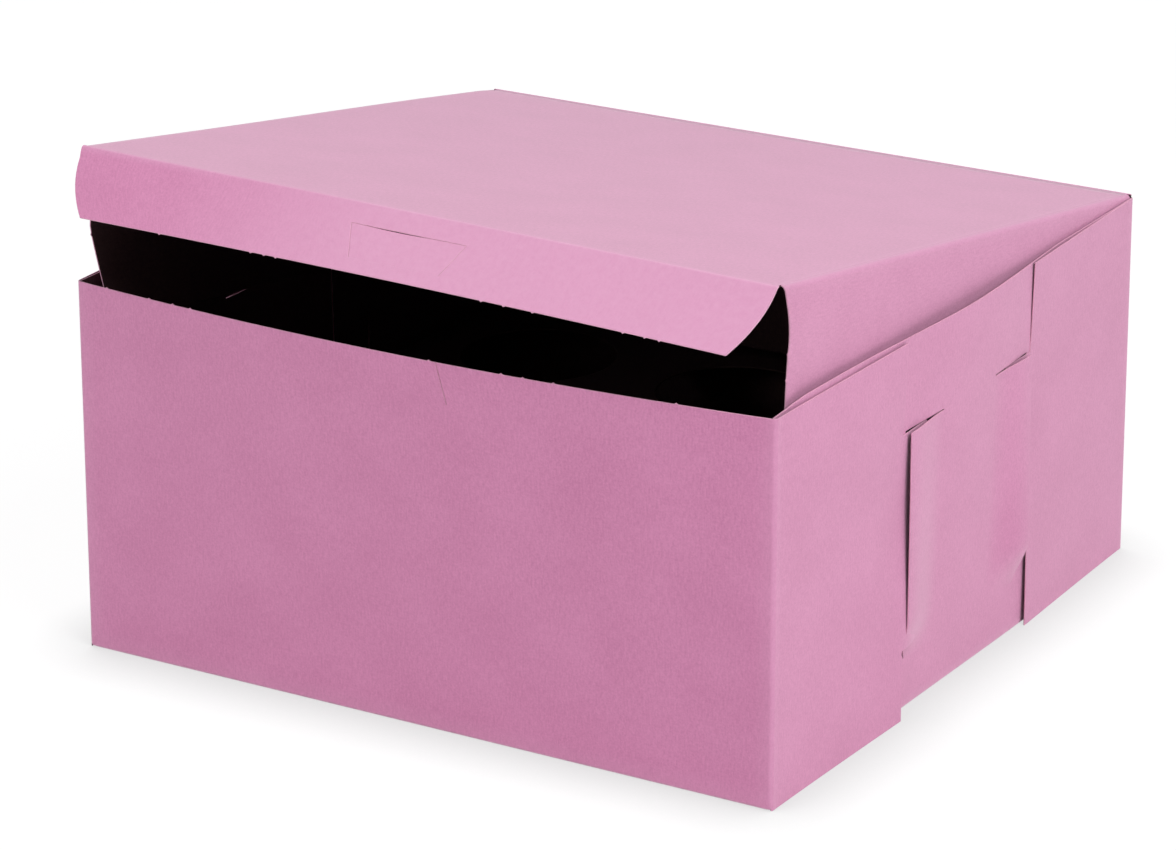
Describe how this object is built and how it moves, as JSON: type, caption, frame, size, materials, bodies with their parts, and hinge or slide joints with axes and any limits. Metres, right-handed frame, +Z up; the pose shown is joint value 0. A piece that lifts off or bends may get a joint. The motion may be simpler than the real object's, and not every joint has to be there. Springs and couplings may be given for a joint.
{
  "type": "cupcake box",
  "caption": "Square folded board box with lock corners, a hinged tuck lid standing partly open, and a loose insert with round holes for cupcakes.",
  "frame": {"origin": "middle of the tray's underside, on the surface that the box stands on", "axes": "+Z up, +Y from the front wall to the hinged back wall, +X to the right seen from the front"},
  "size_m": [0.263, 0.2633, 0.1698],
  "materials": {
    "tray_board": "uncoated pink board, matte",
    "lid_board": "uncoated pink board, matte",
    "insert_board": "uncoated chocolate brown board, matte"
  },
  "bodies": {
    "tray": {"bottom_panel": "tray_board", "front_panel": "tray_board", "back_panel": "tray_board", "left_side_panel": "tray_board", "right_side_panel": "tray_board", "front_left_corner_flap": "tray_board", "front_right_corner_flap": "tray_board", "back_left_corner_flap": "tray_board", "back_right_corner_flap": "tray_board"},
    "hinge_crease": {"lid_hinge_crease": "lid_board"},
    "lid": {"lid_panel": "lid_board"},
    "tuck_flap": {"front_tuck_flap": "lid_board"},
    "lock_tab": {"lock_tab": "lid_board"},
    "lid_left_flap": {"lid_left_side_flap": "lid_board"},
    "lid_right_flap": {"lid_right_side_flap": "lid_board"},
    "insert": {"insert_deck": "insert_board"},
    "insert_left_leg": {"insert_left_leg": "insert_board"},
    "insert_right_leg": {"insert_right_leg": "insert_board"}
  },
  "joints": [
    {"name": "lid_open", "type": "hinge", "parent": "tray", "child": "hinge_crease", "pos_m": [0, 0.12625, 0.1277], "axis": [-1, 0, 0], "range_deg": [0, 160]},
    {"name": "lid_close", "type": "hinge", "parent": "hinge_crease", "child": "lid", "pos_m": [0, 0.12625, 0.1277], "axis": [-1, 0, 0], "range_deg": [-9.6, 8]},
    {"name": "tuck_flap_fold", "type": "hinge", "parent": "lid", "child": "tuck_flap", "pos_m": [0, -0.12112, 0.16873], "axis": [-1, 0, 0], "range_deg": [-72.04, 60]},
    {"name": "lock_tab_bend", "type": "hinge", "parent": "tuck_flap", "child": "lock_tab", "pos_m": [0, -0.13311, 0.15463], "axis": [1, 0, 0], "range_deg": [0, 60]},
    {"name": "lid_left_flap_fold", "type": "hinge", "parent": "lid", "child": "lid_left_flap", "pos_m": [-0.12615, 0.00237, 0.14784], "axis": [0, -0.986, 0.1668], "range_deg": [0, 80]},
    {"name": "lid_right_flap_fold", "type": "hinge", "parent": "lid", "child": "lid_right_flap", "pos_m": [0.12615, 0.00237, 0.14784], "axis": [0, 0.986, -0.1668], "range_deg": [0, 80]},
    {"name": "insert_lift", "type": "slide", "parent": "tray", "child": "insert", "axis": [0, 0, 1], "range_m": [0, 0.075]},
    {"name": "insert_left_leg_fold", "type": "hinge", "parent": "insert", "child": "insert_left_leg", "pos_m": [-0.1251, 0, 0.0468], "axis": [0, -1, 0], "range_deg": [0, 80]},
    {"name": "insert_right_leg_fold", "type": "hinge", "parent": "insert", "child": "insert_right_leg", "pos_m": [0.1251, 0, 0.0468], "axis": [0, 1, 0], "range_deg": [0, 80]}
  ],
  "couplings": [
    {"joint": "tuck_flap_fold", "follows": "lid_close", "ratio": 7.5}
  ]
}
